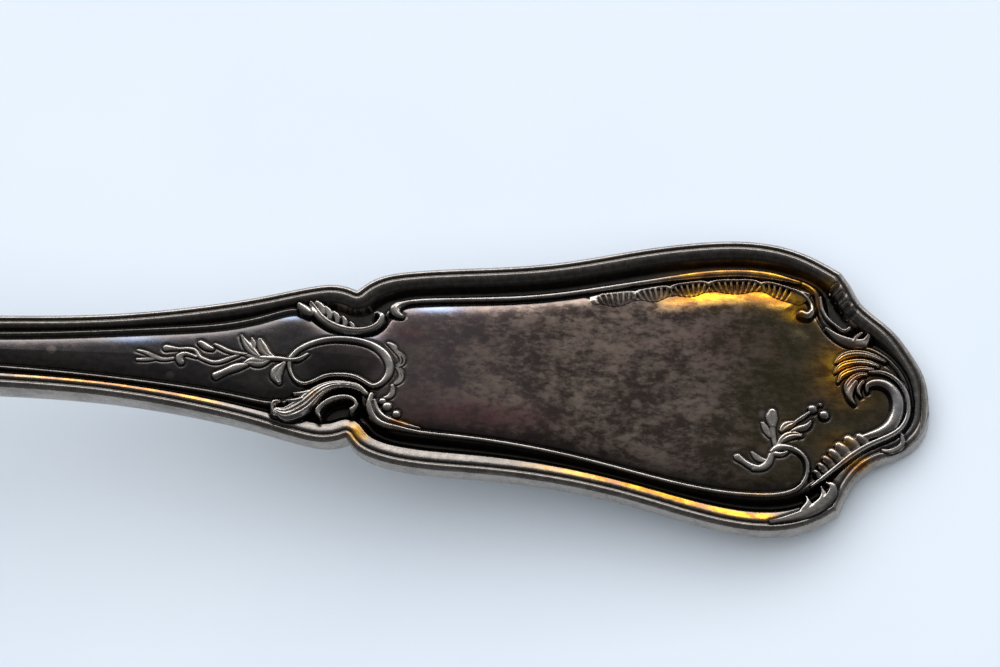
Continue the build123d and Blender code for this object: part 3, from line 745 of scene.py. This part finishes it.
def upper_scroll():
    return ornament(
        ([(55.75, 4.75), (56.1, 4.45), (56.55, 4.1)], [0.34, 0.52, 0.4], 0.5),
        ([(56.6, 4.95), (57.0, 4.4), (57.5, 3.75), (58.4, 3.1), (59.6, 2.72), (60.8, 2.72),
          (61.8, 3.1), (62.25, 3.7), (62.15, 4.3), (61.75, 4.4), (61.6, 4.1)],
         [0.26, 0.42, 0.42, 0.4, 0.36, 0.32, 0.32, 0.3, 0.26, 0.2, 0.12], 0.42, "fold", 3),
    )


def upper_scroll_shell():
    return ornament(
        ([(57.1, 5.0), (57.5, 4.6), (57.65, 4.1)], [0.26, 0.4, 0.26], 0.32, "band"),
        ([(57.8, 4.6), (58.1, 4.2), (58.2, 3.7)], [0.26, 0.4, 0.26], 0.3, "band"),
        ([(58.5, 4.2), (58.75, 3.85), (58.8, 3.4)], [0.24, 0.38, 0.24], 0.28, "band"),
        ([(59.2, 3.85), (59.4, 3.5), (59.4, 3.15)], [0.2, 0.32, 0.22], 0.25, "band"),
        ([(59.85, 3.4), (60.0, 3.2), (60.1, 3.0)], [0.16, 0.26, 0.18], 0.22, "band"),
    )


def along_panel(edge_run, low, high, spacing):
    """Points of the panel's own edge between two stations."""
    run = Smooth(edge_run).spaced(SIDE_SPACING)
    run = run[(run[:, 0] > low) & (run[:, 0] < high)]
    return [tuple(p) for p in run[::int(spacing / SIDE_SPACING)]]


def upper_thread():
    run = along_panel(PANEL_UPPER, 64.6, 95.8, 2.4)
    halves = [0.19 + 0.15 * smoothstep(83.0, 88.0, x) for x, _ in run]
    points = [(63.85, 4.1), (63.4, 4.4), (63.3, 4.85), (63.7, 5.25)] + run
    return ornament(
        (points, [0.2, 0.42, 0.46, 0.28] + halves[:-1] + [0.1],
         [0.42, 0.45, 0.42, 0.25] + [0.12] * len(run), "round", 4),
    )


def lower_thread():
    run = along_panel(PANEL_LOWER, 66.0, 94.0, 2.4)[::-1]
    head = [(61.9, -2.85), (61.8, -3.5), (61.95, -4.2), (62.35, -4.9), (63.0, -5.3), (63.9, -5.5),
            (64.9, -5.7)]
    hook = [(94.9, -9.0), (95.5, -8.3), (95.75, -7.4), (95.65, -6.6), (95.2, -6.0), (94.5, -5.65),
            (93.8, -5.6)]
    halves = [0.26, 0.3, 0.4, 0.36, 0.3, 0.24, 0.19] + [0.14] * len(run)
    halves += [0.16, 0.18, 0.2, 0.2, 0.2, 0.24, 0.2]
    heights = [0.35, 0.42, 0.42, 0.38, 0.34, 0.3, 0.2] + [0.08] * len(run) + [0.15, 0.22, 0.28] + [0.34] * 4
    strand = [(62.2, -3.35), (62.45, -4.1), (62.95, -4.7), (63.75, -5.05), (64.7, -5.3), (65.8, -5.5)]
    return ornament(
        (head + run + hook, halves, heights),
        (strand, [0.16, 0.26, 0.28, 0.24, 0.18, 0.1], [0.4, 0.4, 0.38, 0.34, 0.28, 0.15]),
    )


def lower_acanthus():
    return ornament(
        ([(61.5, -2.75), (60.9, -2.3), (59.9, -2.08), (58.95, -2.15), (58.1, -2.55), (57.4, -3.2),
          (56.75, -3.9), (56.0, -4.45), (55.2, -4.75), (54.7, -4.6)],
         [0.2, 0.3, 0.34, 0.42, 0.56, 0.72, 0.82, 0.8, 0.62, 0.34],
         [0.3, 0.35, 0.38, 0.42, 0.46, 0.5, 0.5, 0.5, 0.5, 0.5], "band", 5),
        ([(54.55, -4.9), (54.35, -4.4), (54.45, -3.95), (54.85, -3.85)], [0.22, 0.3, 0.3, 0.14], 0.6),
        ([(57.5, -2.75), (56.7, -3.0), (55.9, -3.1)], [0.28, 0.28, 0.12], 0.45),
        ([(56.6, -3.5), (56.0, -3.7), (55.4, -3.75)], [0.3, 0.26, 0.12], 0.5),
    )


def lower_volute():
    return ornament(
        ([(58.05, -4.95), (57.85, -4.5), (58.1, -4.0), (58.65, -3.5), (59.3, -3.22), (60.0, -3.15),
          (60.6, -3.4), (60.8, -3.85), (60.5, -4.25)],
         [0.16, 0.32, 0.28, 0.26, 0.25, 0.24, 0.24, 0.24, 0.34], 0.38, "band"),
    )


def side_scroll_beads():
    return [bead(x, y, r, 0.35) for x, y, r in
            ((62.8, -3.4, 0.28), (63.2, -3.85, 0.36), (63.95, -4.45, 0.3))]


def fluted_border():
    """The shell edge, and the hook that it ends in."""
    edge = [(78.4, 6.8), (81.0, 7.15), (84.0, 7.85), (87.0, 8.5), (90.0, 8.85), (92.2, 8.85), (94.3, 8.35)]
    hook = [(94.2, 8.35), (94.9, 8.1), (95.5, 7.6), (95.85, 7.0), (95.9, 6.4), (95.6, 6.05), (95.15, 6.15)]
    return [ShellEdge(edge), Stroke(hook, [0.14, 0.17, 0.18, 0.18, 0.28, 0.34, 0.4],
                                    [0.2, 0.2, 0.2, 0.2, 0.4, 0.42, 0.42])]


def upper_corner_scroll():
    """The scroll, and short parallel lobes in the border beside it."""
    lobes = [Stroke([(x, y), (x + 0.3, y + 0.35), (x + 0.6, y + 0.7)], [0.1, 0.18, 0.1], -0.5)
             for x, y in ((97.2, 8.3), (97.7, 7.6), (98.15, 6.8), (98.6, 6.2))]
    return ornament(
        ([(96.55, 7.8), (96.7, 6.8), (97.1, 5.95), (97.85, 5.25), (98.55, 4.9), (98.85, 5.15)],
         [0.1, 0.16, 0.2, 0.2, 0.24, 0.24], [0.05, 0.12, 0.2, 0.25, 0.3, 0.3]),
        ([(97.0, 5.0), (97.8, 4.35), (98.7, 3.95), (99.5, 3.85), (100.1, 4.1), (100.35, 4.6)],
         [0.14, 0.3, 0.42, 0.44, 0.34, 0.16], [0.2, 0.28, 0.34, 0.36, 0.38, 0.36], "fold"),
        ([(99.2, 3.9), (99.35, 4.3), (99.85, 4.75)], [0.2, 0.24, 0.12], 0.36),
    ) + lobes


def tip_acanthus():
    strands = [
        ([(101.6, 2.4), (100.5, 2.9), (99.3, 3.0), (98.3, 2.6), (97.8, 2.0)], 0.3),
        ([(101.1, 1.95), (100.1, 2.25), (99.1, 2.15), (98.2, 1.75), (97.75, 1.1)], 0.3),
        ([(100.7, 1.6), (99.8, 1.65), (99.0, 1.4), (98.3, 0.95), (98.0, 0.3)], 0.3),
        ([(100.2, 1.15), (99.5, 1.0), (98.95, 0.5), (98.65, -0.1), (98.7, -0.75)], 0.34),
    ]
    leaves = [Stroke(points, [0.14, 0.26, 0.3, 0.26, 0.08], height, "leaf") for points, height in strands]
    return leaves + ornament(
        ([(99.4, 0.4), (99.05, -0.2), (98.95, -0.9), (99.3, -1.5)], [0.2, 0.28, 0.28, 0.12], 0.42),
        ([(99.95, 0.5), (99.65, 0.0), (99.6, -0.45), (99.8, -0.8)], [0.16, 0.22, 0.2, 0.1], 0.36),
    )


def tip_scroll():
    return ornament(
        ([(100.25, -0.35), (100.3, 0.1), (100.9, 0.45), (101.7, 0.35), (102.3, -0.15), (102.65, -1.0),
          (102.6, -2.1), (102.2, -3.0), (101.5, -3.65), (100.7, -4.05), (99.9, -4.35)],
         [0.16, 0.26, 0.36, 0.42, 0.48, 0.54, 0.56, 0.52, 0.44, 0.36, 0.24],
         [0.36, 0.42, 0.48, 0.5, 0.5, 0.5, 0.5, 0.48, 0.46, 0.42, 0.35]),
        ([(100.4, 1.35), (101.4, 1.4), (102.4, 0.95), (103.1, 0.1), (103.42, -1.0), (103.4, -2.2),
          (102.9, -3.3), (102.0, -4.05), (101.0, -4.6), (100.0, -5.2), (99.0, -6.0),
          (98.0, -6.95), (97.0, -7.9), (96.1, -8.7)],
         [0.1, 0.18, 0.22, 0.24, 0.24, 0.24, 0.24, 0.26, 0.26, 0.25, 0.24, 0.22, 0.2, 0.14],
         [0.3, 0.35, 0.36, 0.36, 0.36, 0.36, 0.36, 0.36, 0.34, 0.3, 0.28, 0.24, 0.2, 0.15]),
        ([(102.9, -3.7), (103.0, -4.5), (102.4, -5.2), (101.5, -5.25)], [0.1, 0.2, 0.22, 0.12], 0.0),
    )


def tip_bead_row():
    """Fleshy lobes leaning on the ridge that runs down from the tip."""
    lobes = [
        ((100.2, -4.75), (99.7, -4.3), 0.42), ((99.45, -5.2), (98.85, -4.6), 0.52),
        ((98.75, -5.75), (98.15, -5.2), 0.5), ((98.1, -6.25), (97.6, -5.75), 0.42),
        ((97.55, -6.8), (97.1, -6.35), 0.38), ((97.05, -7.3), (96.7, -6.95), 0.32),
        ((96.6, -7.8), (96.35, -7.55), 0.26),
    ]
    made = []
    for (x0, y0), (x1, y1), half in lobes:
        middle = ((x0 + x1) / 2 + 0.08, (y0 + y1) / 2 - 0.02)
        made.append(Stroke([(x0, y0), middle, (x1, y1)], [half, half, half * 0.85], [0.24, 0.36, 0.38]))
    return made


def flower_sprig():
    buds = [bead(96.05, -2.15, 0.38), bead(96.95, -2.6, 0.4), bead(96.65, -1.75, 0.16, 0.3)]
    return ornament(
        ([(94.6, -5.65), (94.0, -5.6), (93.4, -5.75), (92.95, -6.1)], [0.16, 0.26, 0.28, 0.14], 0.42),
        ([(94.2, -6.0), (93.6, -6.25), (93.05, -6.3), (92.85, -6.8), (92.4, -7.4), (91.6, -7.65)],
         [0.1, 0.2, 0.22, 0.24, 0.28, 0.16], 0.38),
        ([(92.2, -7.5), (91.4, -7.4), (90.9, -7.1), (90.4, -6.75)], [0.16, 0.24, 0.22, 0.3], 0.38),
        ([(92.6, -6.9), (92.05, -6.8), (91.7, -6.55), (91.5, -6.3)], [0.12, 0.22, 0.2, 0.1], 0.32),
        ([(93.25, -5.6), (93.1, -4.8), (93.0, -4.0), (92.95, -3.4)], [0.16, 0.2, 0.22, 0.2], 0.38),
        ([(93.0, -3.8), (92.95, -3.2), (93.0, -2.7)], [0.3, 0.46, 0.32], 0.42, "leaf"),
        ([(92.85, -4.8), (92.55, -4.3), (92.25, -3.75)], [0.14, 0.26, 0.14], 0.34),
        ([(93.5, -5.4), (93.9, -4.85), (94.5, -4.5), (95.2, -4.5)], [0.14, 0.3, 0.34, 0.16], 0.36, "leaf"),
        ([(93.7, -4.2), (94.1, -3.75), (94.7, -3.45)], [0.2, 0.36, 0.16], 0.36, "leaf"),
        ([(94.5, -4.2), (95.1, -3.9), (95.65, -3.65), (95.95, -3.25)], [0.14, 0.28, 0.26, 0.12], 0.36),
        ([(94.6, -3.5), (95.2, -3.0), (95.8, -2.5)], [0.12, 0.16, 0.12], 0.32),
    ) + buds


def lower_corner_leaf():
    return ornament(
        ([(93.0, -11.9), (94.3, -11.5), (95.5, -11.05), (96.5, -10.5), (97.2, -9.85), (97.65, -9.15),
          (97.65, -8.55), (97.25, -8.3)],
         [0.1, 0.26, 0.4, 0.46, 0.46, 0.38, 0.28, 0.16],
         [-0.05, 0.0, 0.05, 0.1, 0.15, 0.2, 0.2, 0.2], "fold"),
        ([(95.3, -11.0), (95.7, -10.45), (95.8, -9.9), (95.65, -9.5)], [0.3, 0.36, 0.26, 0.1],
         [0.0, 0.05, 0.0, -0.1]),
        ([(96.3, -10.3), (96.85, -9.75), (96.95, -9.2), (96.8, -8.65)], [0.3, 0.34, 0.28, 0.12],
         [0.05, 0.1, 0.05, 0.0]),
    )


def relief_strokes():
    """Every ornament of the handle: CAD node name to its strokes."""
    makers = (
        cartouche_frame, cartouche_shell_edge, leaf_spray, upper_scroll, upper_scroll_shell, upper_thread,
        lower_thread, lower_acanthus, lower_volute, side_scroll_beads, fluted_border, upper_corner_scroll,
        tip_acanthus, tip_scroll, tip_bead_row, flower_sprig, lower_corner_leaf,
    )
    return {maker.__name__: maker() for maker in makers}


# -------------------- material
class Nodes:
    """Short hand for building a node tree."""

    def __init__(self, material):
        material.use_nodes = True
        self.tree = material.node_tree
        self.tree.nodes.clear()

    def add(self, kind, inputs=None, **settings):
        node = self.tree.nodes.new(kind)
        for key, value in settings.items():
            setattr(node, key, value)
        for key, value in (inputs or {}).items():
            self.feed(node.inputs[key], value)
        return node

    def feed(self, socket, value):
        """Link an output to a socket, or set the socket's own value."""
        if hasattr(value, "is_output"):
            self.tree.links.new(value, socket)
        else:
            socket.default_value = value

    def math(self, operation, a, b=0.0, c=0.0, clamp=False):
        return self.add("ShaderNodeMath", {0: a, 1: b, 2: c}, operation=operation, use_clamp=clamp).outputs[0]

    def times(self, a, b):
        return self.math("MULTIPLY", a, b)

    def noise(self, place, scale, detail=3.0, roughness=0.55, distortion=0.0):
        return self.add("ShaderNodeTexNoise", {
            "Vector": place, "Scale": scale, "Detail": detail, "Roughness": roughness,
            "Distortion": distortion}).outputs["Fac"]

    def ramp(self, value, low, high, to_low=0.0, to_high=1.0):
        """A smooth step between two values."""
        return self.add("ShaderNodeMapRange", {
            "Value": value, "From Min": low, "From Max": high, "To Min": to_low, "To Max": to_high},
            interpolation_type="SMOOTHSTEP").outputs["Result"]

    def mix(self, share, a, b, blend="MIX"):
        node = self.add("ShaderNodeMix", data_type="RGBA", blend_type=blend)
        self.feed(node.inputs[0], share)
        self.feed(node.inputs[6], a)
        self.feed(node.inputs[7], b)
        return node.outputs[2]

    def attribute(self, name):
        return self.add("ShaderNodeAttribute", attribute_name=name).outputs["Fac"]


def rgb(r, g, b):
    return (r, g, b, 1.0)


def silver(name):
    """Old silver plate: dark film on the flats, dark film and painted shade in the hollows, worn bright on
    the crests.
    """
    material = bpy.data.materials.new(name)
    n = Nodes(material)
    place = n.add("ShaderNodeTexCoord").outputs["Object"]
    axes = n.add("ShaderNodeSeparateXYZ", {"Vector": place}).outputs
    drawn_out = n.add("ShaderNodeMapping", {"Vector": place, "Scale": (0.6, 1.0, 1.0)}).outputs[0]
    fine = n.noise(place, 2200.0, 4.0, 0.6)
    grain = n.noise(drawn_out, 2500.0, 5.0, 0.7, 0.1)
    patch = n.noise(drawn_out, 800.0, 4.0, 0.62, 0.2)
    cloud = n.noise(place, 230.0, 3.0, 0.55)
    shade, crest, flat = n.attribute("shade"), n.attribute("crest"), n.attribute("flat")
    gold, rose, blue = n.attribute("gold"), n.attribute("rose"), n.attribute("blue")

    # The panel: freckles of thinner film, thick in the middle and rare at the tip.
    mottle = n.math("ADD", n.times(grain, 0.4), n.times(patch, 0.35))
    mottle = n.math("ADD", mottle, n.times(cloud, 0.25))
    middle = n.times(n.ramp(axes[0], 0.060, 0.074), n.ramp(axes[0], 0.096, 0.084))
    freckle = n.times(n.ramp(mottle, 0.42, 0.60), n.math("MULTIPLY_ADD", middle, 0.82, 0.18))
    left = n.mix(n.ramp(axes[0], 0.066, 0.078), rgb(0.092, 0.070, 0.070), rgb(0.062, 0.044, 0.037))
    left = n.mix(n.ramp(axes[0], 0.055, 0.064), rgb(0.045, 0.041, 0.042), left)
    dark = n.mix(n.ramp(axes[0], 0.084, 0.094), left, rgb(0.046, 0.037, 0.019))
    film = n.mix(freckle, dark, rgb(0.215, 0.160, 0.128))
    spot_cells = n.add("ShaderNodeTexVoronoi", {"Vector": place, "Scale": 520.0, "Randomness": 1.0})
    chance = n.add("ShaderNodeSeparateXYZ", {"Vector": spot_cells.outputs["Color"]}).outputs[0]
    seldom = n.ramp(chance, 0.80, 0.84)
    round_spot = n.times(n.ramp(spot_cells.outputs["Distance"], 0.26, 0.14), seldom)
    film = n.mix(n.times(round_spot, 0.55), film, rgb(0.22, 0.17, 0.15))

    # Ornament and border: an even grey film.
    other = n.mix(n.ramp(fine, 0.35, 0.65), rgb(0.10, 0.086, 0.074), rgb(0.145, 0.132, 0.120))
    film = n.mix(flat, other, film)
    film = n.mix(n.times(rose, n.ramp(patch, 0.35, 0.6, 0.25, 0.85)), film, rgb(0.15, 0.06, 0.065))
    film = n.mix(n.times(blue, 0.6), film, rgb(0.22, 0.32, 0.50))
    gilt = n.math("MULTIPLY", gold, n.ramp(mottle, 0.40, 0.56, 0.6, 1.0), clamp=True)
    gilding = n.mix(n.ramp(patch, 0.40, 0.62), rgb(0.24, 0.085, 0.004), rgb(0.60, 0.30, 0.012))
    film = n.mix(gilt, film, gilding)

    worn = n.times(crest, n.ramp(mottle, 0.40, 0.58, 0.5, 1.0))
    worn = n.math("MULTIPLY", worn, n.math("SUBTRACT", 1.0, n.math("MULTIPLY", gold, 0.95, clamp=True)))
    colour = n.mix(worn, film, rgb(0.47, 0.42, 0.375))
    # Painted shade: where the shade attribute is high, the colour goes near black.
    colour = n.mix(n.times(shade, 0.88), colour, rgb(0.014, 0.012, 0.010))
    rough = n.math("ADD", n.times(fine, 0.5), n.times(freckle, 0.25))
    rough = n.ramp(rough, 0.2, 0.6, 0.25, 0.38)
    bump = n.add("ShaderNodeBump", {"Strength": n.math("MULTIPLY_ADD", crest, -0.18, 0.26),
                                    "Distance": 0.00003, "Height": grain})
    shader = n.add("ShaderNodeBsdfPrincipled", {
        "Base Color": colour, "Roughness": rough, "Metallic": 1.0, "Normal": bump.outputs["Normal"]})
    out = n.add("ShaderNodeOutputMaterial")
    n.tree.links.new(shader.outputs[0], out.inputs[0])
    return material


# -------------------- table, light, camera
def make_table():
    """A pale card that fills every view."""
    mesh = bpy.data.meshes.new("table_top")
    half = 1.2
    corners = [(-half, -half, 0), (half, -half, 0), (half, half, 0), (-half, half, 0)]
    mesh.from_pydata(corners, [], [(0, 1, 2, 3)])
    thing = bpy.data.objects.new("table_top", mesh)
    bpy.context.collection.objects.link(thing)
    material = bpy.data.materials.new("pale_card")
    n = Nodes(material)
    place = n.add("ShaderNodeTexCoord").outputs["Object"]
    tone = n.mix(n.ramp(n.noise(place, 30.0), 0.3, 0.7), rgb(0.79, 0.86, 0.95), rgb(0.81, 0.88, 0.96))
    shader = n.add("ShaderNodeBsdfPrincipled", {"Base Color": tone, "Roughness": 0.75})
    out = n.add("ShaderNodeOutputMaterial")
    n.tree.links.new(shader.outputs[0], out.inputs[0])
    mesh.materials.append(material)


def make_light(name, place, target, size, watts, colour):
    data = bpy.data.lights.new(name, "AREA")
    data.shape, data.size, data.size_y = "RECTANGLE", size[0], size[1]
    data.energy, data.color = watts, colour
    lamp = bpy.data.objects.new(name, data)
    bpy.context.collection.objects.link(lamp)
    lamp.location = place
    lamp.rotation_mode = "QUATERNION"
    lamp.rotation_quaternion = (Vector(target) - Vector(place)).to_track_quat("-Z", "Y")
    return lamp


def make_camera():
    """A long lens over the broad end of the handle, turned about its own axis."""
    elevation, azimuth, roll = (math.radians(a) for a in (61.99, 19.354, -18.352))
    distance, target = 0.28885, Vector((0.070924, 0.004914, 0.004))
    back = Vector((math.sin(azimuth) * math.cos(elevation), -math.cos(azimuth) * math.cos(elevation),
                   math.sin(elevation)))
    level = Vector((math.cos(azimuth), math.sin(azimuth), 0.0))
    upright = back.cross(level)
    right = math.cos(roll) * level + math.sin(roll) * upright
    up = -math.sin(roll) * level + math.cos(roll) * upright
    data = bpy.data.cameras.new("camera")
    data.sensor_width, data.lens = 36.0, 129.6
    data.clip_start, data.clip_end = 0.01, 10.0
    camera = bpy.data.objects.new("camera", data)
    bpy.context.collection.objects.link(camera)
    turn = Matrix((right, up, back)).transposed()
    camera.matrix_world = Matrix.Translation(target + back * distance) @ turn.to_4x4()
    bpy.context.scene.camera = camera


def make_world():
    """A pale room, brighter behind the spoon than in front of it."""
    world = bpy.data.worlds.new("studio")
    bpy.context.scene.world = world
    n = Nodes(world)
    direction = n.add("ShaderNodeTexCoord").outputs["Generated"]
    across = n.add("ShaderNodeSeparateXYZ", {"Vector": direction}).outputs[1]
    light = n.mix(n.ramp(across, -0.4, 0.9), rgb(0.10, 0.105, 0.11), rgb(0.52, 0.56, 0.60))
    background = n.add("ShaderNodeBackground", {"Color": light, "Strength": 1.0})
    out = n.add("ShaderNodeOutputWorld")
    n.tree.links.new(background.outputs[0], out.inputs[0])


def main():
    plate = silver("tarnished_plate")
    relief = relief_strokes()
    make_handle(plate, [stroke for strokes in relief.values() for stroke in strokes])
    for name, strokes in relief.items():
        make_relief(name, strokes, plate)
    make_bowl(plate)
    make_seam(plate)
    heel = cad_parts["bowl_heel"]
    heel.data.materials.clear()
    heel.data.materials.append(plate)
    make_table()
    make_world()
    back = make_light("back_softbox", (0.02, 0.55, 0.30), (0.06, 0.0, 0.0), (0.9, 0.22), 4.4,
                      (0.97, 0.98, 1.0))
    back.visible_diffuse = False
    overhead = make_light("overhead_softbox", (0.05, 0.1, 0.9), (0.05, 0.0, 0.0), (2.4, 2.4), 20.0,
                          (0.98, 0.99, 1.0))
    overhead.visible_glossy = False
    make_camera()
    bpy.context.scene.view_settings.view_transform = "Standard"


main()
